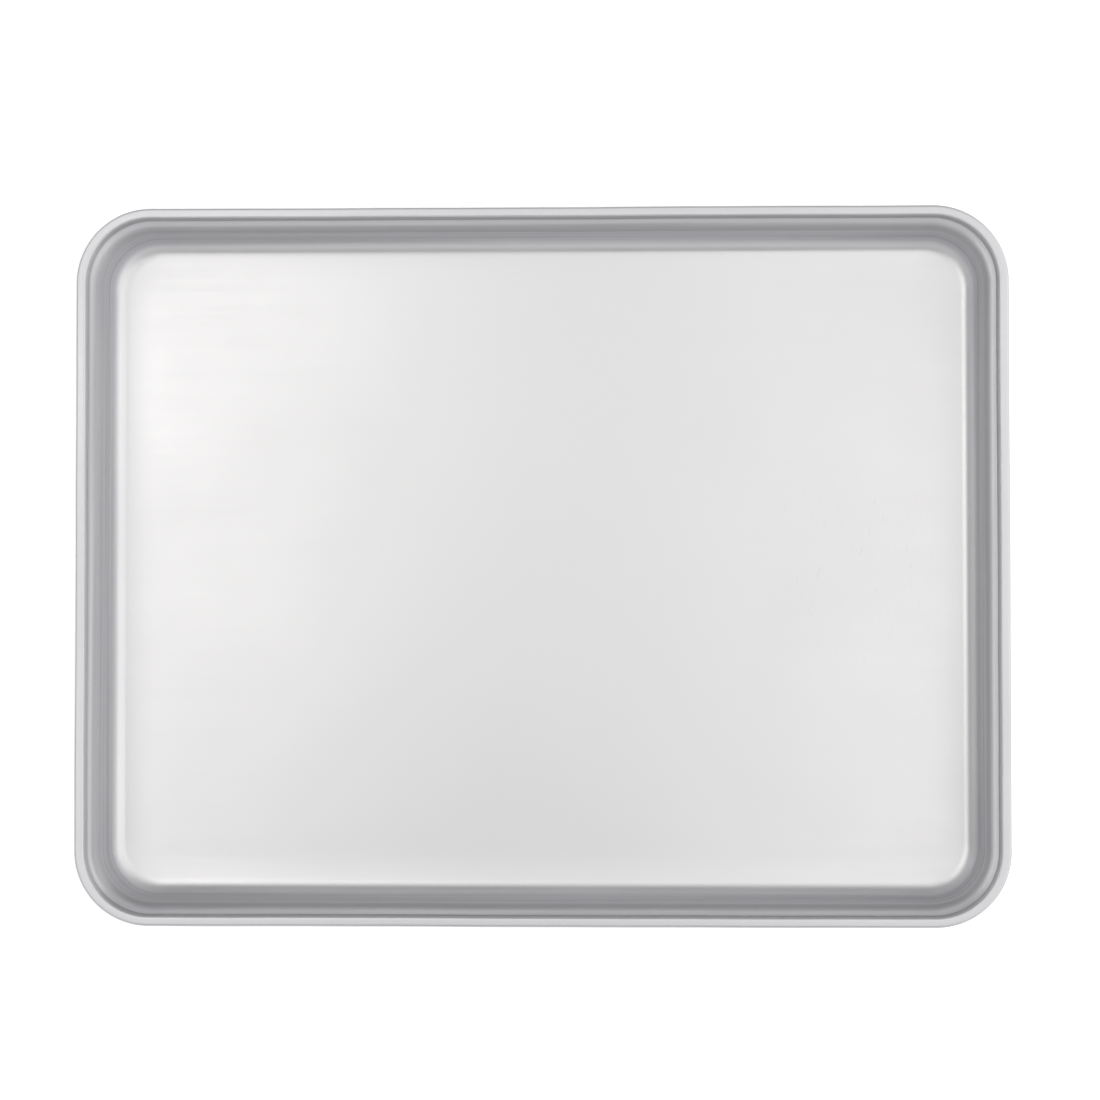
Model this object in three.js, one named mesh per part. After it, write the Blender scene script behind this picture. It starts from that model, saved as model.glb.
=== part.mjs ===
// A deep-drawn aluminium baking pan with a rolled rim.
//
// The pan is one pressed sheet: a flat floor, a steep wall, a sloping shoulder near the top that
// stiffens it, a short neck, and a rim that curls outwards and down around a steel wire.
// Millimetres, +Z up, the origin on the table under the pan's middle, X along the pan's length.

import * as THREE from "three";

// Driving dimensions, in millimetres and degrees
const PAN_LENGTH = 470; // over the rolled rim
const PAN_WIDTH = 362; // over the rolled rim
const PAN_HEIGHT = 38; // from the table to the top of the rim
const SHEET_THICKNESS = 1;
const RIM_CORNER_RADIUS = 38; // plan radius of the corners, over the rolled rim
const FLOOR_CORNER_RADIUS = 22; // plan radius of the flat floor's corners
const FLOOR_BEND_RADIUS = 8.5; // inside radius between floor and wall
const WALL_DRAFT = 3; // lean of the wall from upright
const SHOULDER_NOSE_RADIUS = 13; // inside face, where the wall rolls over into the shoulder
const SHOULDER_FLAT = 1.5; // straight part of the shoulder, along its slope
const SHOULDER_SLOPE = 44; // rise of the shoulder from level
const NECK_BEND_RADIUS = 1.5; // inside face, between shoulder and neck
const NECK_HEIGHT = 4; // straight part of the neck, along its slope
const NECK_DRAFT = 2; // lean of the neck from upright
const WIRE_DIAMETER = 2.5;
const WIRE_CLEARANCE = 0.3; // between the wire and the curl around it
const CURL_EDGE_GAP = 0.5; // between the curl's raw edge and the neck
const WIRE_BUTT_GAP = 0.6; // between the two ends of the wire

// How finely the round stretches are divided
const PLAN_CORNER_STEPS = 10;
const FLOOR_BEND_STEPS = 8;
const SHOULDER_BEND_STEPS = 5;
const CURL_STEPS = 20;
const WIRE_SIDES = 12;

// Sizes that follow from them
const HALF_SHEET = SHEET_THICKNESS / 2;
const CURL_INSIDE_RADIUS = WIRE_DIAMETER / 2 + WIRE_CLEARANCE;
const CURL_OUTSIDE_RADIUS = CURL_INSIDE_RADIUS + SHEET_THICKNESS;

// The curl goes three quarters of a turn, and on until its raw edge faces the neck.
const CURL_TURN =
  270 + THREE.MathUtils.radToDeg(Math.asin((CURL_INSIDE_RADIUS - CURL_EDGE_GAP) / CURL_OUTSIDE_RADIUS));

// The middle line of a bent sheet, drawn as a run of straights and bends. x is the distance
// outwards from where it starts and y is the height. Each point also has the direction
// across the sheet, towards the inside of the pan.
class SheetLine {
  constructor(start) {
    this.end = start;
    this.heading = 0;
    this.points = [];
    this.mark();
  }

  mark() {
    const across = new THREE.Vector2(-Math.sin(this.heading), Math.cos(this.heading));
    this.points.push({ middle: this.end.clone(), across });
  }

  straight(length) {
    const along = new THREE.Vector2(Math.cos(this.heading), Math.sin(this.heading));
    this.end = this.end.clone().addScaledVector(along, length);
    this.mark();
    return this;
  }

  // Turns to a new heading, in degrees above level, on an arc of the given radius.
  bendTo(heading, radius, steps) {
    const from = this.heading;
    const turn = THREE.MathUtils.degToRad(heading) - from;
    const side = Math.sign(turn);
    const centre = this.centreOfBend(side * radius);
    for (let step = 1; step <= steps; step++) {
      this.heading = from + (turn * step) / steps;
      const spoke = new THREE.Vector2(Math.sin(this.heading), -Math.cos(this.heading));
      this.end = centre.clone().addScaledVector(spoke, side * radius);
      this.mark();
    }
    return this;
  }

  // A positive radius bends up and inwards, and a negative one outwards and down.
  centreOfBend(radius) {
    const across = new THREE.Vector2(-Math.sin(this.heading), Math.cos(this.heading));
    return this.end.clone().addScaledVector(across, radius);
  }

  // Both faces of the sheet: out along the outside face and back along the inside one. Each
  // point also has the reach of the sheet's middle there, which both faces share.
  outline(halfThickness) {
    const face = (offset) =>
      this.points.map(({ middle, across }) =>
        Object.assign(middle.clone().addScaledVector(across, offset), { reach: middle.x }),
      );
    return [...face(-halfThickness), ...face(halfThickness).reverse()];
  }
}

// The section of the pan from the edge of its flat floor to the neck, for a wall of the given
// length. The curl is added once the wall is known to bring it to the right height.
function sectionUpToNeck(wallLength) {
  return new SheetLine(new THREE.Vector2(0, HALF_SHEET))
    .bendTo(90 - WALL_DRAFT, FLOOR_BEND_RADIUS + HALF_SHEET, FLOOR_BEND_STEPS)
    .straight(wallLength)
    .bendTo(SHOULDER_SLOPE, SHOULDER_NOSE_RADIUS - HALF_SHEET, SHOULDER_BEND_STEPS)
    .straight(SHOULDER_FLAT)
    .bendTo(90 - NECK_DRAFT, NECK_BEND_RADIUS + HALF_SHEET, SHOULDER_BEND_STEPS)
    .straight(NECK_HEIGHT);
}

const curlCentreOf = (line) => line.centreOfBend(-(CURL_INSIDE_RADIUS + HALF_SHEET));

// The wall takes up whatever height the bends, the shoulder and the rim leave.
const heightWithNoWall = curlCentreOf(sectionUpToNeck(0)).y + CURL_OUTSIDE_RADIUS;
const wallLength = (PAN_HEIGHT - heightWithNoWall) / Math.cos(THREE.MathUtils.degToRad(WALL_DRAFT));
const section = sectionUpToNeck(wallLength);
const curlCentre = curlCentreOf(section);
section.bendTo(90 - NECK_DRAFT - CURL_TURN, CURL_INSIDE_RADIUS + HALF_SHEET, CURL_STEPS);

// From the wall up, the corners of every level share an upright axis. The floor's corners are
// rounder than that would make them, so down the floor bend the corners widen to the floor's
// own radius, slowly at first and then faster.
const cornerAxis = new THREE.Vector2(PAN_LENGTH / 2 - RIM_CORNER_RADIUS, PAN_WIDTH / 2 - RIM_CORNER_RADIUS);
const floorEdgeFromAxis = RIM_CORNER_RADIUS - CURL_OUTSIDE_RADIUS - curlCentre.x;
const floorBendReach = section.points[FLOOR_BEND_STEPS].middle.x;
const floorWidening = FLOOR_CORNER_RADIUS - floorEdgeFromAxis;
const wideningAt = (reach) => floorWidening * Math.max(0, 1 - reach / floorBendReach) ** 2;

// Places around the pan, anticlockwise from the middle of the back, where a section stands: a
// foot on the corner's axis, the way outwards from it, and the way that a point moves for each
// millimetre by which its level's corner is widened.
function cornerStations() {
  const stations = [];
  for (let quarter = 1; quarter <= 4; quarter++) {
    const middle = (quarter * Math.PI) / 2 + Math.PI / 4;
    const corner = new THREE.Vector2(Math.sign(Math.cos(middle)), Math.sign(Math.sin(middle)));
    const foot = cornerAxis.clone().multiply(corner);
    for (let step = 0; step <= PLAN_CORNER_STEPS; step++) {
      const angle = (Math.PI / 2) * (quarter + step / PLAN_CORNER_STEPS);
      const outwards = new THREE.Vector2(Math.cos(angle), Math.sin(angle));
      stations.push({ foot, outwards, spread: outwards.clone().sub(corner) });
    }
  }
  return stations;
}

// A station on the straight back side, at a distance from its middle.
function backStation(x) {
  const foot = new THREE.Vector2(x, cornerAxis.y);
  return { foot, outwards: new THREE.Vector2(0, 1), spread: new THREE.Vector2() };
}

// The place, seen from above, of a section point at a station. x is measured from the floor's edge.
const placeAt = ({ foot, outwards, spread }, { x, reach }) =>
  foot
    .clone()
    .addScaledVector(outwards, floorEdgeFromAxis + x)
    .addScaledVector(spread, wideningAt(reach));

// Flat triangles that fill the loop of grid points given by their indices.
function fillLoop(flatPoints, indices) {
  return THREE.ShapeUtils.triangulateShape(flatPoints, []).flat().map((corner) => indices[corner]);
}

// Carries a section round the stations. A loop of stations leaves the section's two ends open,
// and they are filled as level floors; a loop of section points has two flat ends, at the first
// and last station.
function sweep(points, stations, { closedPath }) {
  const positions = stations.flatMap((station) =>
    points.flatMap((point) => [...placeAt(station, point).toArray(), point.y]),
  );
  const at = (station, point) =>
    (station % stations.length) * points.length + (point % points.length);
  const spans = stations.length - (closedPath ? 0 : 1);
  const strips = points.length - (closedPath ? 1 : 0);
  const triangles = [];
  for (let station = 0; station < spans; station++) {
    for (let point = 0; point < strips; point++) {
      const [a, b] = [at(station, point), at(station + 1, point)];
      const [c, d] = [at(station + 1, point + 1), at(station, point + 1)];
      triangles.push(a, b, c, a, c, d);
    }
  }
  const ring = (point) => stations.map((_, station) => at(station, point));
  const cut = (station) => points.map((_, point) => at(station, point));
  if (closedPath) {
    const level = (point) => stations.map((station) => placeAt(station, point));
    triangles.push(...fillLoop(level(points[0]), ring(0)).reverse());
    triangles.push(...fillLoop(level(points.at(-1)), ring(points.length - 1)));
  } else {
    triangles.push(...fillLoop(points, cut(0)));
    triangles.push(...fillLoop(points, cut(stations.length - 1)).reverse());
  }
  const geometry = new THREE.BufferGeometry();
  geometry.setAttribute("position", new THREE.Float32BufferAttribute(positions, 3));
  geometry.setIndex(triangles);
  geometry.computeVertexNormals();
  return geometry;
}

function panShell() {
  const satinAluminium = new THREE.MeshStandardMaterial({ color: 0xdcdcdb, roughness: 0.42, metalness: 1 });
  const outline = section.outline(HALF_SHEET);
  const shell = new THREE.Mesh(sweep(outline, cornerStations(), { closedPath: true }), satinAluminium);
  shell.name = "pan_shell";
  return shell;
}

// One length of wire, bent round inside the rim, with its ends butted at the middle of the back.
function rimWire() {
  const galvanisedSteel = new THREE.MeshStandardMaterial({ color: 0x9a9da0, roughness: 0.5, metalness: 1 });
  const circle = new THREE.Shape().absarc(curlCentre.x, 0, WIRE_DIAMETER / 2, 0, 2 * Math.PI);
  const wireSection = circle
    .getSpacedPoints(WIRE_SIDES)
    .slice(0, WIRE_SIDES)
    .map((point) => Object.assign(point, { reach: curlCentre.x }));
  const route = [backStation(-WIRE_BUTT_GAP / 2), ...cornerStations(), backStation(WIRE_BUTT_GAP / 2)];
  const wire = new THREE.Mesh(sweep(wireSection, route, { closedPath: false }), galvanisedSteel);
  wire.name = "rim_wire";
  wire.position.z = curlCentre.y;
  return wire;
}

const bakingPan = new THREE.Group();
bakingPan.name = "baking_pan";
bakingPan.add(panShell(), rimWire());

export default bakingPan;
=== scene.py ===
"""A pressed aluminium baking pan with a rolled and wired rim, on a pale studio floor.

Laid out as an add-on and run as a script. The pan's sheet and the wire in its rim are worked out with
numpy as sections carried round the pan, and get the finish of the real metals.
"""

import math
from typing import NamedTuple

import bpy
import numpy as np
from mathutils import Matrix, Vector


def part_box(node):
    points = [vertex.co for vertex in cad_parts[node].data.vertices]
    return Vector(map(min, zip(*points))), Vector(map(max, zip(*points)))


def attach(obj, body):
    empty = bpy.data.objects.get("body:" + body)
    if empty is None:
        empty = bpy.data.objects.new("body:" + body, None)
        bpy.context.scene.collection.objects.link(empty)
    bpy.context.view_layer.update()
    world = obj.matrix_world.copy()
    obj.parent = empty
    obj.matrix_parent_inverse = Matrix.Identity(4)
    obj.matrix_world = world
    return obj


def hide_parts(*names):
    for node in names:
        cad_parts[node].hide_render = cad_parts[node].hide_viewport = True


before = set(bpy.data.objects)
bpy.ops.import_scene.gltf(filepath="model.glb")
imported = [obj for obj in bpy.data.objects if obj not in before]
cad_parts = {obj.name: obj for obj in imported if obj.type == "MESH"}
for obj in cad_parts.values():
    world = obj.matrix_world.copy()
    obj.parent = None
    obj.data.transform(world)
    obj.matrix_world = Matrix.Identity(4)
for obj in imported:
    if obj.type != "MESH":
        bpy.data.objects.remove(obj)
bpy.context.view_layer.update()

bl_info = {
    "name": "Baking pan",
    "version": (1, 0, 0),
    "blender": (4, 5, 0),
    "location": "View3D > Sidebar > Baking pan",
    "description": "Builds a pressed aluminium baking pan with a wired rim, and a studio stage around it",
    "category": "Add Mesh",
}

MM = 0.001
PAN_LOW, PAN_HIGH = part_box("pan_shell")

# How finely the stretches of the section, the way round the pan, the floor and the wire are divided
SECTION_STEPS = {
    "dish": 8,
    "floor bend": 14,
    "wall": 10,
    "nose": 14,
    "shoulder": 3,
    "neck bend": 8,
    "neck": 4,
    "curl": 40,
}
RAW_EDGE_STEPS = 6
HALF_LONG_SIDE_STEPS = 24
SHORT_SIDE_STEPS = 36
CORNER_STEPS = 28
FLOOR_RINGS = 28
WIRE_SIDES = 20

# Waves in the run of the rim: how many go round the pan, how strong each is and where it starts
RIM_WAVES = ((5, 1.0, 0.7), (11, 0.6, 2.1), (23, 0.4, 4.0))

# Shares of the pan's height between which the rim's waves grow to their full size
WAVES_START, WAVES_FULL = 0.3, 0.8

# Heights in millimetres where pressing and rolling have left the sheet's surface different, and where painted
# shade darkens a line across the nose and the crease below the rim
BEND_FOOT, WALL_FOOT, WALL_TOP = 2.0, 6.0, 21.5
# Painted shade: a darker line across the nose, standing in for the shade there
NOSE_SHADE_FOOT, NOSE_SHADE_TOP = 24.0, 26.0
SHOULDER = 28.8
# Painted shade: a darker band in the crease below the rim
CREASE_SHADE_FOOT, CREASE_SHADE_TOP = 31.2, 33.0
BEAD_FOOT, BEAD_SIDE, BEAD_TOP = 34.5, 35.5, 37.5

# The etch's grain is finer than a tenth of a millimetre, and is drawn at 0.9 mm so that it shows.
GRAIN_SIZE = 0.9 * MM
GRAIN_DEPTH = 0.015 * MM
GRAIN_BUMP = 0.3

# Rolling leaves streaks along the pan, and handling leaves clouds. With the grain, they make the sheet a
# little more or less matt as their sum goes from the first value to the second.
STREAK_SIZE = (80 * MM, 1.6 * MM, 1.6 * MM)
STREAK_WEIGHT = 0.5
CLOUD_SIZE = 90 * MM
UNEVEN_FROM, UNEVEN_TO = 0.85, 1.65
ROUGHNESS_SPREAD = 0.05

# Drawing leaves faint lines round the walls, about 3 mm wide and a few hundred millimetres long. A line, like
# a scuff, starts to show at the first value of its noise and is full at the second.
DRAW_LINE_SIZE = (260 * MM, 260 * MM, 3 * MM)
DRAW_LINE_FROM, DRAW_LINE_TO = 0.4, 0.65
DRAW_LINE_STRENGTH = 0.6

# Hairline scuffs about a millimetre wide and up to 20 mm long, gathered to the right of the floor
SCUFF_SIZE = (9 * MM, 1.1 * MM, 9 * MM)
SCUFF_HEADING = math.radians(72)
SCUFF_FROM, SCUFF_TO = 0.74, 0.84
SCUFFED_PLACE = (165 * MM, 5 * MM, 0)
SCUFFED_WITHIN, UNSCUFFED_BEYOND = 25 * MM, 65 * MM

# Width of a zinc crystal on the wire, and how far the stage's floor lies below the pan
SPANGLE_SIZE = 2.5 * MM
FLOOR_DROP = 0.2 * MM

# At each knot of the way round the pan: the signs of the corner, and the way outwards in quarter turns
KNOT_CORNER_X = (0, -1, -1, -1, -1, 1, 1, 1, 1, 0)
KNOT_CORNER_Y = (1, 1, 1, -1, -1, -1, -1, 1, 1, 1)
KNOT_QUARTERS = (1, 1, 2, 2, 3, 3, 4, 4, 5, 5)


def linear(code):
    """The linear colour of an sRGB hex value such as #DCDCDA."""
    shades = np.array([int(code[i : i + 2], 16) for i in (1, 3, 5)]) / 255
    return tuple(np.where(shades <= 0.04045, shades / 12.92, ((shades + 0.055) / 1.055) ** 2.4))


def millimetres(name, default, description):
    """A length, with its default in millimetres."""
    return bpy.props.FloatProperty(
        name=name, description=description, default=default * MM, min=0, unit="LENGTH", precision=5
    )


def degrees(name, default, description):
    """An angle, with its default in degrees."""
    return bpy.props.FloatProperty(
        name=name, description=description, default=math.radians(default), subtype="ANGLE"
    )


def colour(name, code, description):
    """A colour, with its default as an sRGB hex value."""
    return bpy.props.FloatVectorProperty(
        name=name, description=description, default=linear(code), size=3, min=0, max=1, subtype="COLOR"
    )


def share(name, default, description):
    """A number from 0 to 1."""
    return bpy.props.FloatProperty(
        name=name, description=description, default=default, min=0, max=1, subtype="FACTOR"
    )


class PanShellSettings(bpy.types.PropertyGroup):
    """Sizes and finish of the pressed sheet."""

    length: millimetres("Length", (PAN_HIGH.x - PAN_LOW.x) / MM, "Over the rolled rim")
    width: millimetres("Width", (PAN_HIGH.y - PAN_LOW.y) / MM, "Over the rolled rim")
    height: millimetres("Height", (PAN_HIGH.z - PAN_LOW.z) / MM, "From the table to the top of the rim")
    sheet: millimetres("Sheet", 1.0, "Thickness of the aluminium")
    rim_corner: millimetres("Rim corner", 38.0, "Plan radius of the corners, over the rolled rim")
    floor_corner: millimetres("Floor corner", 22.0, "Plan radius of the flat floor's corners")
    floor_bend: millimetres("Floor bend", 9.5, "Inside radius between floor and wall")
    wall_draft: degrees("Wall draft", 3.0, "Lean of the wall from upright")
    shoulder_nose: millimetres("Shoulder nose", 13.0, "Inside radius where the wall rolls into the shoulder")
    shoulder_flat: millimetres("Shoulder flat", 1.5, "Straight part of the shoulder, along its slope")
    shoulder_slope: degrees("Shoulder slope", 44.0, "Rise of the shoulder from level")
    neck_bend: millimetres("Neck bend", 1.5, "Inside radius between shoulder and neck")
    neck_height: millimetres("Neck height", 4.0, "Straight part of the neck, along its slope")
    neck_draft: degrees("Neck draft", 2.0, "Lean of the neck from upright")
    curl_edge_gap: millimetres("Curl edge gap", 0.5, "Between the curl's raw edge and the neck")
    rim_power: bpy.props.FloatProperty(
        name="Rim power", description="2 for a round rim, and more for a flatter top", default=5.0, min=2.0
    )
    rim_wave: millimetres("Rim wave", 0.3, "How far the rolled rim wanders inwards along its run")
    floor_dish: millimetres("Floor dish", 14.0, "Width of the floor's border that pressing leaves rising")
    dish_tilt: degrees("Dish tilt", 5.0, "Rise of that border from level, where it meets the bend")
    floor_crown: millimetres("Floor crown", 0.25, "How far pressing leaves the floor's middle raised")
    colour: colour("Aluminium", "#DEDDDC", "Colour of the satin aluminium")
    # Partly painted shade: the walls are darker partly for the dulling that drawing leaves and partly to
    # stand for the shade on them
    drawn_and_shaded_colour: colour("Drawn aluminium", "#D7D7DA", "Colour where drawing has dulled the walls")
    rim_colour: colour("Rim", "#DDDDDF", "Colour of the rolled shoulder and neck")
    bead_colour: colour("Bead", "#D4D4D5", "Colour of the rolled bead, which handling has dulled")
    # Painted shade: this dark line across the nose stands for shade, and is not a mark in the sheet
    painted_nose_shade: colour("Painted nose shade", "#C8C8CB", "Colour of the die's line below the shoulder")
    draw_line_colour: colour("Draw lines", "#C0C0C3", "Colour of the faint lines round the walls")
    # Painted shade: the crease below the rim is darkened to stand for the shade in it
    painted_crease_shade: colour("Crease", "#CDCDD0", "Colour of the dulled crease below the rim")
    scuff_colour: colour("Scuffs", "#D5D4D3", "Colour of the hairline scuffs on the floor")
    roughness: share("Roughness", 0.36, "How matt the etched floor is")
    wall_roughness: share("Wall roughness", 0.68, "How matt the walls are, which drawing has coarsened")
    rim_roughness: share("Rim roughness", 0.38, "How matt shoulder and rim are, which rolling has smoothed")
    crown_roughness: share("Crown roughness", 0.42, "How matt the top of the rim is, from handling")


class RimWireSettings(bpy.types.PropertyGroup):
    """Sizes and finish of the wire in the rim."""

    diameter: millimetres("Diameter", 2.5, "Thickness of the wire")
    clearance: millimetres("Clearance", 0.3, "Between the wire and the curl around it")
    butt_gap: millimetres("Butt gap", 0.6, "Between the two ends of the wire")
    end_bevel: millimetres("End bevel", 0.25, "Bevel that cropping leaves round the wire's ends")
    dark: colour("Dark zinc", "#8E9296", "Darker spangles of the zinc")
    light: colour("Light zinc", "#B2B6B9", "Lighter spangles of the zinc")
    dark_roughness: share("Dark roughness", 0.42, "How matt the darker spangles are")
    light_roughness: share("Light roughness", 0.6, "How matt the lighter spangles are")


class StageSettings(bpy.types.PropertyGroup):
    """The floor, the soft light and the camera."""

    floor_size: millimetres("Floor size", 40000.0, "Side of the square floor")
    floor_colour: colour("Floor", "#F6F6F5", "Colour of the pale floor")
    floor_roughness: share("Floor roughness", 0.7, "How matt the pale floor is")
    floor_glow: share("Floor glow", 0.45, "Light that the floor gives off, as a light table does")
    sky_colour: colour("Sky", "#FAF9FF", "Colour of the soft light from all round")
    sky_strength: share("Sky strength", 0.19, "Strength of the soft light from all round")
    camera_place: bpy.props.FloatVectorProperty(
        name="Camera place",
        description="Where the camera stands",
        default=(39.19 * MM, -22.79 * MM, 1300 * MM),
        subtype="TRANSLATION",
        unit="LENGTH",
    )
    camera_turn: bpy.props.FloatVectorProperty(
        name="Camera turn",
        description="How the camera is turned from looking straight down",
        default=(math.radians(1.393), math.radians(1.560), math.radians(-0.033)),
        subtype="EULER",
    )
    lens: bpy.props.FloatProperty(
        name="Lens", description="Focal length on a 36 mm sensor", default=82.4, unit="CAMERA"
    )


class Run(NamedTuple):
    """One stretch of the section's middle line: how long it is and how far it turns, in radians."""

    length: float
    turn: float
    steps: int


class Section(NamedTuple):
    """The pan's section from the rising border of its floor to the end of the curl.

    outline holds distances outwards from the floor's edge and heights, out along the outside face and
    back along the inside one. reach is how far out the middle of the sheet is at each point of it, and
    along is the way travelled along it.
    """

    outline: np.ndarray
    reach: np.ndarray
    along: np.ndarray
    floor_bend_reach: float
    curl_centre: np.ndarray
    curl_outside: float


def follow(start, runs):
    """Points and headings along a line of straights and bends.

    A run that turns by a on its way has gone, at the share t of its length l, a chord of
    t l sin(t a / 2) / (t a / 2) in the direction of its first heading plus t a / 2.
    """
    points, headings = [np.array([start])], [np.zeros(1)]
    for run in runs:
        t = np.linspace(0, 1, run.steps + 1)[1:]
        half_turn = t * run.turn / 2
        chord = t * run.length * np.sinc(half_turn / np.pi)
        direction = headings[-1][-1] + half_turn
        steps = chord[:, None] * np.stack([np.cos(direction), np.sin(direction)], axis=1)
        points.append(points[-1][-1] + steps)
        headings.append(headings[-1][-1] + 2 * half_turn)
    return np.concatenate(points), np.concatenate(headings)


def flatten_crown(outline, centre, power):
    """Flattens the top of the curl: above its middle, circles r^2 = x^2 + z^2 become r^p = x^p + z^p."""
    offset = outline - centre
    direction = np.abs(offset) / np.linalg.norm(offset, axis=1, keepdims=True)
    stretch = (direction**power).sum(axis=1, keepdims=True) ** (-1 / power)
    return centre + np.where(offset[:, 1:] > 0, stretch, 1) * offset


def pan_section(pan, wire):
    """The section of the sheet, as a middle line offset by half the sheet to each side.

    The floor's border rises to the bend on a long, gentle arc. The wall takes up whatever height the bends,
    the shoulder and the rim leave. The curl goes three quarters of a turn and on until its raw edge faces
    the neck, and the raw edge is a half circle.
    """
    half = pan.sheet / 2
    curl_inside = wire.diameter / 2 + wire.clearance
    curl_outside = curl_inside + pan.sheet
    curl_middle = curl_inside + half
    bend_middle = pan.floor_bend + half
    wall = math.pi / 2 - pan.wall_draft
    neck = math.pi / 2 - pan.neck_draft
    curl_turn = 1.5 * math.pi + math.asin((curl_inside - pan.curl_edge_gap) / curl_outside)

    def bend(radius, turn, name):
        return Run(radius * abs(turn), turn, SECTION_STEPS[name])

    def runs_up_to_neck(wall_length):
        return [
            Run(pan.floor_dish, pan.dish_tilt, SECTION_STEPS["dish"]),
            bend(bend_middle, wall - pan.dish_tilt, "floor bend"),
            Run(wall_length, 0, SECTION_STEPS["wall"]),
            bend(pan.shoulder_nose - half, pan.shoulder_slope - wall, "nose"),
            Run(pan.shoulder_flat, 0, SECTION_STEPS["shoulder"]),
            bend(pan.neck_bend + half, neck - pan.shoulder_slope, "neck bend"),
            Run(pan.neck_height, 0, SECTION_STEPS["neck"]),
        ]

    def curl_centre(neck_top):
        return neck_top + curl_middle * np.array([math.sin(neck), -math.cos(neck)])

    dish_reach = pan.floor_dish * np.sinc(pan.dish_tilt / math.pi)
    start = (bend_middle * math.sin(pan.dish_tilt) - dish_reach, half)
    low_points, _ = follow(start, runs_up_to_neck(0.0))
    wall_length = (pan.height - curl_centre(low_points[-1])[1] - curl_outside) / math.cos(pan.wall_draft)
    curl = bend(curl_middle, -curl_turn, "curl")
    middle, heading = follow(start, runs_up_to_neck(wall_length) + [curl])
    centre = curl_centre(middle[-1 - curl.steps])

    across = np.stack([-np.sin(heading), np.cos(heading)], axis=1)
    round_edge = np.linspace(0, math.pi, RAW_EDGE_STEPS + 1)[1:-1] + heading[-1] - math.pi / 2
    raw_edge = middle[-1] + half * np.stack([np.cos(round_edge), np.sin(round_edge)], axis=1)
    outline = np.concatenate([middle - half * across, raw_edge, (middle + half * across)[::-1]])
    outline = flatten_crown(outline, centre, pan.rim_power)
    reach = np.concatenate([middle[:, 0], np.full(len(raw_edge), middle[-1, 0]), middle[::-1, 0]])
    steps = np.linalg.norm(np.diff(outline, axis=0), axis=1)
    return Section(
        outline=outline,
        reach=reach,
        along=np.concatenate([[0], np.cumsum(steps)]),
        floor_bend_reach=middle[SECTION_STEPS["dish"] + SECTION_STEPS["floor bend"], 0],
        curl_centre=centre,
        curl_outside=curl_outside,
    )


def round_the_pan(half_long_side, corner, short_side):
    """A value for each stretch of the way round, from the middle of the back."""
    front = [short_side, corner, 2 * half_long_side, corner, short_side]
    return [half_long_side, corner, *front, corner, half_long_side]


class PanPath:
    """The way round the pan, anticlockwise from the middle of the back.

    Seen from above, a point that lies x outside the floor's edge is at axis c + n (e + x) + (n - c) w. The
    corner c slides from one corner's signs to the next along a side, n points outwards, e is the distance
    from a corner's axis to the floor's edge, and w is how much that level's corners are widened.
    """

    def __init__(self, pan, section):
        half_size = np.array([pan.length, pan.width]) / 2
        self.axis = half_size - pan.rim_corner
        self.edge = pan.rim_corner - section.curl_outside - section.curl_centre[0]
        self.widening = pan.floor_corner - self.edge
        self.floor_bend_reach = section.floor_bend_reach
        self.rim_wave = pan.rim_wave
        corner = pan.rim_corner * math.pi / 2
        stretches = round_the_pan(self.axis[0], corner, 2 * self.axis[1])
        self.knots = np.concatenate([[0], np.cumsum(stretches)])

    @property
    def length(self):
        """How long the way round is."""
        return self.knots[-1]

    def stations(self):
        """Distances along the way, with its end beside its start left out."""
        counts = round_the_pan(HALF_LONG_SIDE_STEPS, CORNER_STEPS, SHORT_SIDE_STEPS)
        ends = zip(self.knots[:-1], self.knots[1:], counts)
        return np.concatenate([np.linspace(a, b, n, endpoint=False) for a, b, n in ends])

    def corner_and_outwards(self, distance):
        """The corner's signs and the way outwards at distances along the way."""
        corner_x = np.interp(distance, self.knots, KNOT_CORNER_X)
        corner_y = np.interp(distance, self.knots, KNOT_CORNER_Y)
        angle = np.interp(distance, self.knots, np.array(KNOT_QUARTERS) * math.pi / 2)
        return np.stack([corner_x, corner_y], axis=1), np.stack([np.cos(angle), np.sin(angle)], axis=1)

    def wander(self, distance):
        """How far the rim lies inwards of its true line: three waves that close on themselves."""
        turn = 2 * math.pi * distance / self.length
        waves = sum(strength * np.sin(count * turn + start) for count, strength, start in RIM_WAVES)
        largest = sum(strength for _, strength, _ in RIM_WAVES)
        return self.rim_wave * (1 + waves / largest) / 2

    def carry(self, distance, outwards_by, reach, height, lift):
        """A grid of points: one row for each point of a section, one column for each distance.

        lift, from 0 at the floor to 1 at the rim, is how much a point shares the rim's wandering.
        """
        corner, outwards = self.corner_and_outwards(distance)
        widened = self.widening * np.clip(1 - reach / self.floor_bend_reach, 0, 1) ** 2
        from_axis = self.edge + outwards_by[:, None] - lift[:, None] * self.wander(distance)
        plan = self.axis * corner + outwards * from_axis[..., None]
        plan = plan + (outwards - corner) * widened[:, None, None]
        heights = np.broadcast_to(height[:, None], plan.shape[:2])
        return np.concatenate([plan, heights[..., None]], axis=-1)


def smooth_step(low, high, value):
    """0 below low, 1 above high, and a smooth rise of 3 t^2 - 2 t^3 between them."""
    t = np.clip((value - low) / (high - low), 0, 1)
    return t * t * (3 - 2 * t)


def floor_rings(edge_ring, crown):
    """Rings from the floor's edge towards its middle: the edge shrunk by s, raised by crown (1 - s^2)^2."""
    shrink = np.linspace(1, 0, FLOOR_RINGS + 2)[1:-1]
    plan = edge_ring[:, :2] * shrink[:, None, None]
    height = edge_ring[:, 2] + crown * (1 - shrink[:, None] ** 2) ** 2
    return np.concatenate([plan, height[..., None]], axis=-1), shrink


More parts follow.
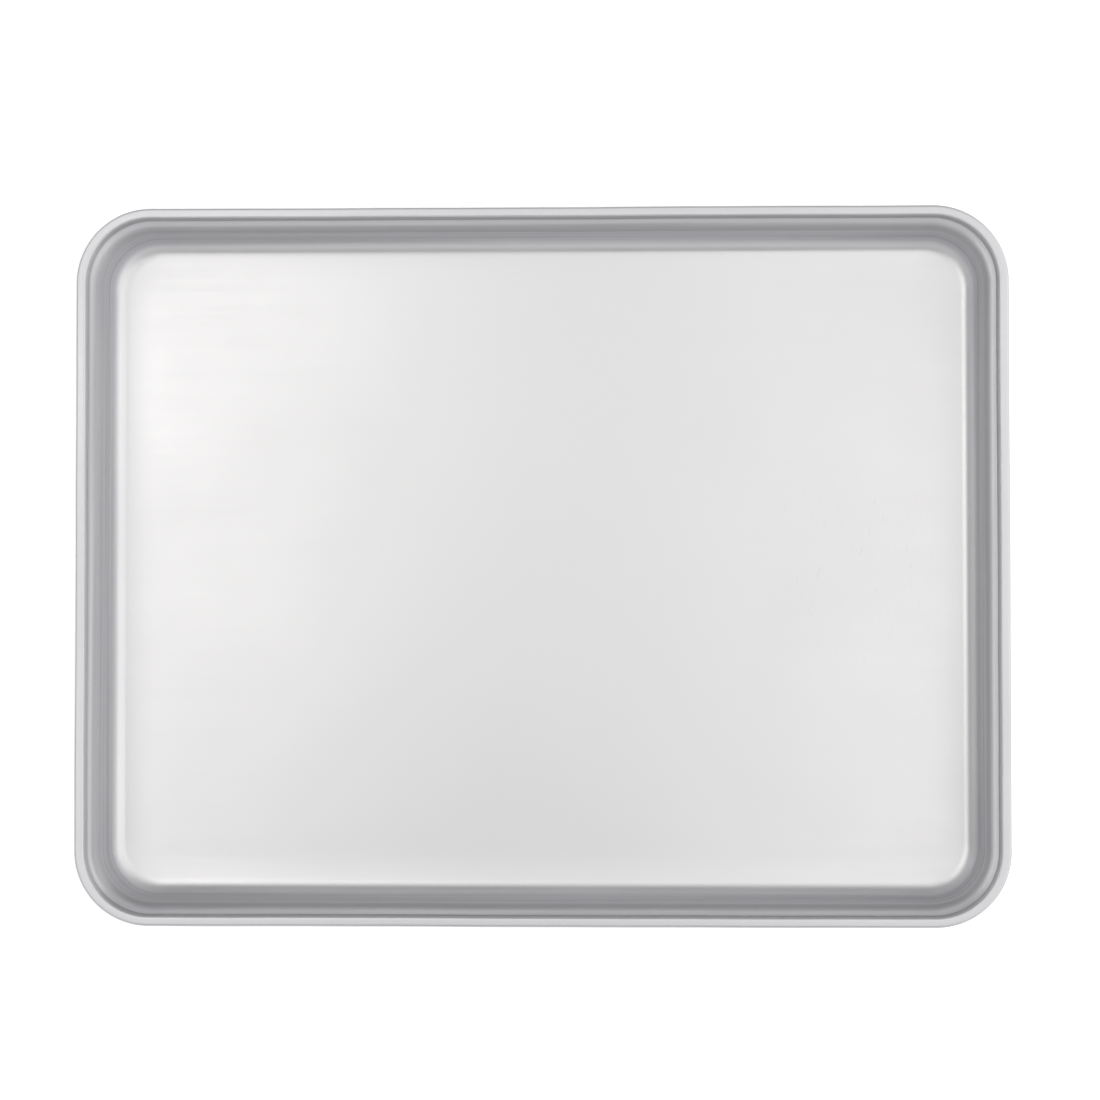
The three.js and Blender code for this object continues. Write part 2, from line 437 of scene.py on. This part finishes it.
def closed_skin(name, rings, along, around, material):
    """An object whose skin runs over a grid of rings, with a fan of triangles over each end ring.

    rings has one row of points for each ring. along places the rings, and around the points of a ring with
    one more for where it closes, in the UV map, in metres.
    """
    count, stations = rings.shape[:2]
    ring = np.arange(count - 1)[:, None, None] + np.array([0, 0, 1, 1])
    station = np.arange(stations)[:, None] + np.array([0, 1, 1, 0])
    quads = ring * stations + station % stations
    quad_places = np.stack(np.broadcast_arrays(around[station], along[ring]), axis=-1)

    pole = count * stations
    back, ahead = np.arange(stations), np.arange(1, stations + 1)
    first_fan = np.stack([ahead % stations, back, np.full(stations, pole)], axis=1)
    top = pole - stations
    last_fan = np.stack([top + back, top + ahead % stations, np.full(stations, pole + 1)], axis=1)
    middle = (around[back] + around[ahead]) / 2
    first_around = np.stack([around[ahead], around[back], middle], axis=1)
    last_around = np.stack([around[back], around[ahead], middle], axis=1)
    fan_places = np.concatenate(
        [
            np.stack([first_around, np.full_like(first_around, along[0])], axis=-1),
            np.stack([last_around, np.full_like(last_around, along[-1])], axis=-1),
        ]
    )

    points = np.concatenate([rings.reshape(-1, 3), rings[[0, -1]].mean(axis=1)])
    faces = quads.reshape(-1, 4).tolist() + first_fan.tolist() + last_fan.tolist()
    mesh = bpy.data.meshes.new(name)
    mesh.from_pydata(points.tolist(), [], faces)
    places = np.concatenate([quad_places.reshape(-1, 2), fan_places.reshape(-1, 2)])
    mesh.uv_layers.new(name="surface").data.foreach_set("uv", places.astype(np.float32).ravel())
    mesh.polygons.foreach_set("use_smooth", np.ones(len(mesh.polygons), dtype=bool))
    mesh.materials.append(material)
    mesh.update()
    piece = bpy.data.objects.new(name, mesh)
    bpy.context.scene.collection.objects.link(piece)
    return piece


def add_node(tree, kind, inputs=None, **settings):
    """Adds a node with its settings, and sets or links its inputs, given by name or by number."""
    node = tree.nodes.new(kind)
    for name, value in settings.items():
        setattr(node, name, value)
    for socket, value in (inputs or {}).items():
        if isinstance(value, bpy.types.NodeSocket):
            tree.links.new(value, node.inputs[socket])
        else:
            node.inputs[socket].default_value = value
    return node


def new_material(name):
    """An empty node material and its tree."""
    material = bpy.data.materials.new(name)
    material.use_nodes = True
    material.node_tree.nodes.clear()
    return material, material.node_tree


def satin_anodised_aluminium(pan):
    """Satin anodised aluminium: rolled sheet, drawn to shape, etched matt and anodised.

    The etch's even grain spreads reflections wide, so the floor glows softly and the walls fade from light
    to grey with no sharp highlight. Rolling leaves faint streaks along the pan, drawing dulls the walls and
    leaves faint lines round them, the curling rolls smooth the rim, and use leaves a few hairline scuffs.
    The walls' colour is also partly painted shade, and painted shade darkens a line across the nose and
    the crease below the rim.
    """
    material, tree = new_material("satin_anodised_aluminium")
    place = add_node(tree, "ShaderNodeTexCoord").outputs["Object"]
    height = add_node(tree, "ShaderNodeSeparateXYZ", {0: place}).outputs["Z"]

    grain = add_node(tree, "ShaderNodeTexNoise", {"Vector": place, "Scale": 1 / GRAIN_SIZE, "Detail": 3.0})
    rolled = add_node(
        tree, "ShaderNodeMapping", {"Vector": place, "Scale": STREAK_SIZE}, vector_type="TEXTURE"
    )
    streaks = add_node(
        tree, "ShaderNodeTexNoise", {"Vector": rolled.outputs["Vector"], "Scale": 1.0, "Detail": 2.0}
    )
    clouds = add_node(tree, "ShaderNodeTexNoise", {"Vector": place, "Scale": 1 / CLOUD_SIZE, "Detail": 3.0})
    fine = add_node(
        tree,
        "ShaderNodeMath",
        {0: streaks.outputs["Fac"], 1: STREAK_WEIGHT, 2: grain.outputs["Fac"]},
        operation="MULTIPLY_ADD",
    )
    uneven = add_node(
        tree, "ShaderNodeMath", {0: clouds.outputs["Fac"], 1: fine.outputs["Value"]}, operation="ADD"
    )
    matt = add_node(
        tree,
        "ShaderNodeMapRange",
        {
            "Value": uneven.outputs["Value"],
            "From Min": UNEVEN_FROM,
            "From Max": UNEVEN_TO,
            "To Min": -ROUGHNESS_SPREAD,
            "To Max": ROUGHNESS_SPREAD,
        },
    )

    # Up the wall the sheet has been drawn further, and the walls' colour there is partly painted shade. From
    # the shoulder up it has been through the rolls. Painted shade darkens a line across the nose and the
    # crease below the rim. Each finish is a ramp over the height.
    finishes = {
        "roughness": (
            (BEND_FOOT, pan.roughness),
            (WALL_FOOT, pan.wall_roughness),
            (WALL_TOP, pan.wall_roughness),
            (SHOULDER, pan.rim_roughness),
            (BEAD_SIDE, pan.rim_roughness),
            (BEAD_TOP, pan.crown_roughness),
        ),
        # Painted shade darkens the walls in part, a line across the nose and the crease below the rim
        "colour": (
            (BEND_FOOT, pan.colour),
            (WALL_FOOT, pan.drawn_and_shaded_colour),
            (WALL_TOP, pan.drawn_and_shaded_colour),
            (NOSE_SHADE_FOOT, pan.painted_nose_shade),
            (NOSE_SHADE_TOP, pan.painted_nose_shade),
            (SHOULDER, pan.rim_colour),
            (CREASE_SHADE_FOOT, pan.painted_crease_shade),
            (CREASE_SHADE_TOP, pan.painted_crease_shade),
            (BEAD_FOOT, pan.bead_colour),
        ),
        "draw lines": (
            (BEND_FOOT, 0.0),
            (WALL_FOOT, DRAW_LINE_STRENGTH),
            (SHOULDER, DRAW_LINE_STRENGTH),
            (BEAD_FOOT, 0.0),
        ),
    }
    share_up = add_node(tree, "ShaderNodeMath", {0: height, 1: pan.height}, operation="DIVIDE").outputs[0]
    by_height = {}
    for finish, stops in finishes.items():
        ramp = add_node(tree, "ShaderNodeValToRGB", {"Fac": share_up})
        elements = ramp.color_ramp.elements
        while len(elements) < len(stops):
            elements.new(0.5)
        for element, (millimetre, shade) in zip(elements, stops):
            element.position = millimetre * MM / pan.height
            element.color = (*np.broadcast_to(shade, 3), 1)
        by_height[finish] = ramp.outputs["Color"]
    roughness = add_node(
        tree, "ShaderNodeMath", {0: by_height["roughness"], 1: matt.outputs["Result"]}, operation="ADD"
    )

    drawn = add_node(
        tree, "ShaderNodeMapping", {"Vector": place, "Scale": DRAW_LINE_SIZE}, vector_type="TEXTURE"
    )
    lines = add_node(
        tree, "ShaderNodeTexNoise", {"Vector": drawn.outputs["Vector"], "Scale": 1.0, "Detail": 2.0}
    )
    line = add_node(
        tree,
        "ShaderNodeMapRange",
        {"Value": lines.outputs["Fac"], "From Min": DRAW_LINE_FROM, "From Max": DRAW_LINE_TO},
    )
    wall_line = add_node(
        tree, "ShaderNodeMath", {0: line.outputs["Result"], 1: by_height["draw lines"]}, operation="MULTIPLY"
    )
    lined = add_node(
        tree,
        "ShaderNodeMix",
        {0: wall_line.outputs["Value"], 6: by_height["colour"], 7: (*pan.draw_line_colour, 1)},
        data_type="RGBA",
    )

    scuffed = add_node(
        tree,
        "ShaderNodeMapping",
        {"Vector": place, "Rotation": (0, 0, SCUFF_HEADING), "Scale": SCUFF_SIZE},
        vector_type="TEXTURE",
    )
    hairs = add_node(
        tree, "ShaderNodeTexNoise", {"Vector": scuffed.outputs["Vector"], "Scale": 1.0, "Detail": 0.0}
    )
    hair = add_node(
        tree,
        "ShaderNodeMapRange",
        {"Value": hairs.outputs["Fac"], "From Min": SCUFF_FROM, "From Max": SCUFF_TO},
    )
    away = add_node(tree, "ShaderNodeVectorMath", {0: place, 1: SCUFFED_PLACE}, operation="DISTANCE")
    near = add_node(
        tree,
        "ShaderNodeMapRange",
        {
            "Value": away.outputs["Value"],
            "From Min": SCUFFED_WITHIN,
            "From Max": UNSCUFFED_BEYOND,
            "To Min": 1.0,
            "To Max": 0.0,
        },
    )
    scuffs = add_node(
        tree, "ShaderNodeMath", {0: hair.outputs["Result"], 1: near.outputs["Result"]}, operation="MULTIPLY"
    )

    tint = add_node(
        tree,
        "ShaderNodeMix",
        {0: scuffs.outputs["Value"], 6: lined.outputs[2], 7: (*pan.scuff_colour, 1)},
        data_type="RGBA",
    )
    bump = add_node(
        tree,
        "ShaderNodeBump",
        {"Height": grain.outputs["Fac"], "Strength": GRAIN_BUMP, "Distance": GRAIN_DEPTH},
    )
    shader = add_node(
        tree,
        "ShaderNodeBsdfPrincipled",
        {
            "Base Color": tint.outputs[2],
            "Metallic": 1.0,
            "Roughness": roughness.outputs["Value"],
            "Normal": bump.outputs["Normal"],
        },
    )
    add_node(tree, "ShaderNodeOutputMaterial", {"Surface": shader.outputs["BSDF"]})
    return material


def galvanised_steel(wire):
    """Galvanised steel: drawn wire dipped in zinc, which freezes into dull light and dark spangles."""
    material, tree = new_material("galvanised_steel")
    place = add_node(tree, "ShaderNodeTexCoord").outputs["Object"]
    spangles = add_node(tree, "ShaderNodeTexVoronoi", {"Vector": place, "Scale": 1 / SPANGLE_SIZE})
    shade = spangles.outputs["Color"]
    tint = add_node(
        tree, "ShaderNodeMix", {0: shade, 6: (*wire.dark, 1), 7: (*wire.light, 1)}, data_type="RGBA"
    )
    roughness = add_node(
        tree,
        "ShaderNodeMapRange",
        {"Value": shade, "To Min": wire.dark_roughness, "To Max": wire.light_roughness},
    )
    shader = add_node(
        tree,
        "ShaderNodeBsdfPrincipled",
        {"Base Color": tint.outputs[2], "Metallic": 1.0, "Roughness": roughness.outputs["Result"]},
    )
    add_node(tree, "ShaderNodeOutputMaterial", {"Surface": shader.outputs["BSDF"]})
    return material


def white_acrylic(stage):
    """White acrylic of a light table: a matt sheet lit from below, on which things throw little shadow."""
    material, tree = new_material("white_acrylic")
    shader = add_node(
        tree,
        "ShaderNodeBsdfPrincipled",
        {
            "Base Color": (*stage.floor_colour, 1),
            "Roughness": stage.floor_roughness,
            "Emission Color": (*stage.floor_colour, 1),
            "Emission Strength": stage.floor_glow,
        },
    )
    add_node(tree, "ShaderNodeOutputMaterial", {"Surface": shader.outputs["BSDF"]})
    return material


class BAKINGPAN_OT_pan_shell(bpy.types.Operator):
    """Builds the pan's pressed sheet, from floor to rolled rim"""

    bl_idname = "baking_pan.pan_shell"
    bl_label = "Pan shell"
    bl_options = {"REGISTER", "UNDO"}

    def execute(self, context):
        pan, wire = context.scene.pan_shell, context.scene.rim_wire
        section = pan_section(pan, wire)
        path = PanPath(pan, section)
        distance = path.stations()
        outwards_by, height = section.outline.T
        lift = smooth_step(WAVES_START * pan.height, WAVES_FULL * pan.height, height)
        wall_rings = path.carry(distance, outwards_by, section.reach, height, lift)
        under, shrink = floor_rings(wall_rings[0], pan.floor_crown)
        inside, _ = floor_rings(wall_rings[-1], pan.floor_crown)
        rings = np.concatenate([under[::-1], wall_rings, inside])
        floor_run = (1 - shrink) * pan.width / 2
        along = np.concatenate([-floor_run[::-1], section.along, section.along[-1] + floor_run])
        around = np.append(distance, path.length)
        piece = closed_skin("pan_sheet", rings, along, around, satin_anodised_aluminium(pan))
        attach(piece, "root")
        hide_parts("pan_shell")
        return {"FINISHED"}


class BAKINGPAN_OT_rim_wire(bpy.types.Operator):
    """Builds the wire that the rim is rolled around"""

    bl_idname = "baking_pan.rim_wire"
    bl_label = "Rim wire"
    bl_options = {"REGISTER", "UNDO"}

    def execute(self, context):
        pan, wire = context.scene.pan_shell, context.scene.rim_wire
        section = pan_section(pan, wire)
        path = PanPath(pan, section)
        first = wire.butt_gap / 2
        last = path.length - first
        start = [first, first + wire.end_bevel]
        end = [last - wire.end_bevel, last]
        distance = np.concatenate([start, path.stations()[1:], end])
        radius = np.full(len(distance), wire.diameter / 2)
        radius[[0, -1]] -= wire.end_bevel
        turn = np.linspace(0, -2 * math.pi, WIRE_SIDES, endpoint=False)[:, None]
        corner, outwards = path.corner_and_outwards(distance)
        centre = path.edge + section.curl_centre[0] - path.wander(distance)
        plan = path.axis * corner + outwards * (centre + radius * np.cos(turn))[..., None]
        height = section.curl_centre[1] + radius * np.sin(turn)
        rings = np.concatenate([plan, height[..., None]], axis=-1).transpose(1, 0, 2)
        around = np.linspace(0, math.pi * wire.diameter, WIRE_SIDES + 1)
        piece = closed_skin("rim_wire_core", rings, distance, around, galvanised_steel(wire))
        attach(piece, "root")
        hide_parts("rim_wire")
        return {"FINISHED"}


class LightPanel(NamedTuple):
    """A panel of soft light, in metres: its place, the way it faces, its size and its brightness."""

    name: str
    place: tuple
    facing: tuple
    width: float
    height: float
    brightness: float


# A light tent, in metres. The middle of its ceiling is divided into columns, from left to right, and rows,
# from front to back.
COLUMN_EDGES = (-0.98, -0.4, 0.15, 0.98)
ROW_EDGES = (-0.98, 0.05, 0.98)
MIDDLE_BRIGHTNESS = ((1.2, 0.5, 1.2), (1.9, 0.65, 1.1))

# Around that middle, where the strips of the ceiling end, outwards, and those of the walls, from the top down
CEILING_EDGES = (0.98, 1.6, 2.2)
WALL_EDGES = (2.2, 1.27, 0.59, 0.0)

# For each side, the way to it and the brightness of its strips, over the ceiling and then down the wall
TENT_SIDES = {
    "right": ((1, 0), (0.9, 1.2), (1.4, 0.95, 0.3)),
    "back": ((0, 1), (0.6, 0.4), (0.05, 0.1, 0.8)),
    "left": ((-1, 0), (1.2, 0.15), (0.0, 0.4, 1.35)),
    "front": ((0, -1), (0.0, 0.1), (0.5, 0.75, 0.5)),
}


def tent_panels():
    """The tent's lit panels: the middle of its ceiling, and then the strips of each side.

    The ceiling's strips on the left and right run past the corners, and those at the front and back fill the
    space between them.
    """
    top, reach = WALL_EDGES[0], CEILING_EDGES[-1]
    panels = []
    for front, back, brightness_row in zip(ROW_EDGES, ROW_EDGES[1:], MIDDLE_BRIGHTNESS):
        for left, right, brightness in zip(COLUMN_EDGES, COLUMN_EDGES[1:], brightness_row):
            place = ((left + right) / 2, (front + back) / 2, top)
            size = (right - left, back - front)
            panels.append(LightPanel("tent_middle", place, (0, 0, -1), *size, brightness))
    for side, (way, over, down) in TENT_SIDES.items():
        for near, far, brightness in zip(CEILING_EDGES, CEILING_EDGES[1:], over):
            place = (way[0] * (near + far) / 2, way[1] * (near + far) / 2, top)
            size = (far - near, 2 * far) if way[0] else (2 * near, far - near)
            panels.append(LightPanel(f"tent_{side}_ceiling", place, (0, 0, -1), *size, brightness))
        for high, low, brightness in zip(WALL_EDGES, WALL_EDGES[1:], down):
            place = (way[0] * reach, way[1] * reach, (high + low) / 2)
            facing = (-way[0], -way[1], 0)
            panels.append(LightPanel(f"tent_{side}_wall", place, facing, 2 * reach, high - low, brightness))
    return [panel for panel in panels if panel.brightness]


def add_panel(scene, panel):
    """Adds an area light of the given brightness, which takes pi times its area in watts."""
    lamp = bpy.data.lights.new(panel.name, "AREA")
    lamp.shape = "RECTANGLE"
    lamp.size, lamp.size_y = panel.width, panel.height
    lamp.energy = math.pi * panel.width * panel.height * panel.brightness
    holder = bpy.data.objects.new(panel.name, lamp)
    holder.location = panel.place
    holder.rotation_euler = Vector(panel.facing).to_track_quat("-Z", "Y").to_euler()
    holder.visible_camera = False
    scene.collection.objects.link(holder)


def add_floor(scene, stage):
    """Adds the square floor, a little below the pan."""
    half = stage.floor_size / 2
    corners = [(half * x, half * y, -FLOOR_DROP) for x, y in ((-1, -1), (1, -1), (1, 1), (-1, 1))]
    mesh = bpy.data.meshes.new("floor")
    mesh.from_pydata(corners, [], [(0, 1, 2, 3)])
    mesh.materials.append(white_acrylic(stage))
    floor = bpy.data.objects.new("floor", mesh)
    scene.collection.objects.link(floor)


class BAKINGPAN_OT_stage(bpy.types.Operator):
    """Adds the floor, the soft lights and the camera"""

    bl_idname = "baking_pan.stage"
    bl_label = "Stage"
    bl_options = {"REGISTER", "UNDO"}

    def execute(self, context):
        scene, stage = context.scene, context.scene.pan_stage
        add_floor(scene, stage)
        for panel in tent_panels():
            add_panel(scene, panel)
        world = bpy.data.worlds.new("studio")
        world.use_nodes = True
        background = world.node_tree.nodes["Background"]
        background.inputs["Color"].default_value = (*stage.sky_colour, 1)
        background.inputs["Strength"].default_value = stage.sky_strength
        scene.world = world
        scene.view_settings.view_transform = "Standard"

        camera = bpy.data.cameras.new("camera")
        camera.lens = stage.lens
        holder = bpy.data.objects.new("camera", camera)
        holder.location = stage.camera_place
        holder.rotation_euler = stage.camera_turn
        scene.collection.objects.link(holder)
        scene.camera = holder
        return {"FINISHED"}


class BAKINGPAN_PT_panel(bpy.types.Panel):
    """The pan's sizes, finishes and builders"""

    bl_idname = "BAKINGPAN_PT_panel"
    bl_label = "Baking pan"
    bl_space_type = "VIEW_3D"
    bl_region_type = "UI"
    bl_category = "Baking pan"

    def draw(self, context):
        for operator, group in BUILDERS:
            box = self.layout.box()
            box.operator(operator.bl_idname)
            settings = getattr(context.scene, group)
            for name in settings.__annotations__:
                box.prop(settings, name)


BUILDERS = [
    (BAKINGPAN_OT_stage, "pan_stage"),
    (BAKINGPAN_OT_pan_shell, "pan_shell"),
    (BAKINGPAN_OT_rim_wire, "rim_wire"),
]
SETTINGS = {"pan_stage": StageSettings, "pan_shell": PanShellSettings, "rim_wire": RimWireSettings}


def register():
    """Makes the settings, the builders and the panel known."""
    for group, settings in SETTINGS.items():
        bpy.utils.register_class(settings)
        setattr(bpy.types.Scene, group, bpy.props.PointerProperty(type=settings))
    for operator, _ in BUILDERS:
        bpy.utils.register_class(operator)
    bpy.utils.register_class(BAKINGPAN_PT_panel)


def unregister():
    """Takes them away again, the last first."""
    bpy.utils.unregister_class(BAKINGPAN_PT_panel)
    for operator, _ in BUILDERS:
        bpy.utils.unregister_class(operator)
    for group, settings in SETTINGS.items():
        delattr(bpy.types.Scene, group)
        bpy.utils.unregister_class(settings)


def main():
    """Builds the stage and the pan."""
    register()
    bpy.ops.baking_pan.stage()
    bpy.ops.baking_pan.pan_shell()
    bpy.ops.baking_pan.rim_wire()


if __name__ == "__main__":
    main()
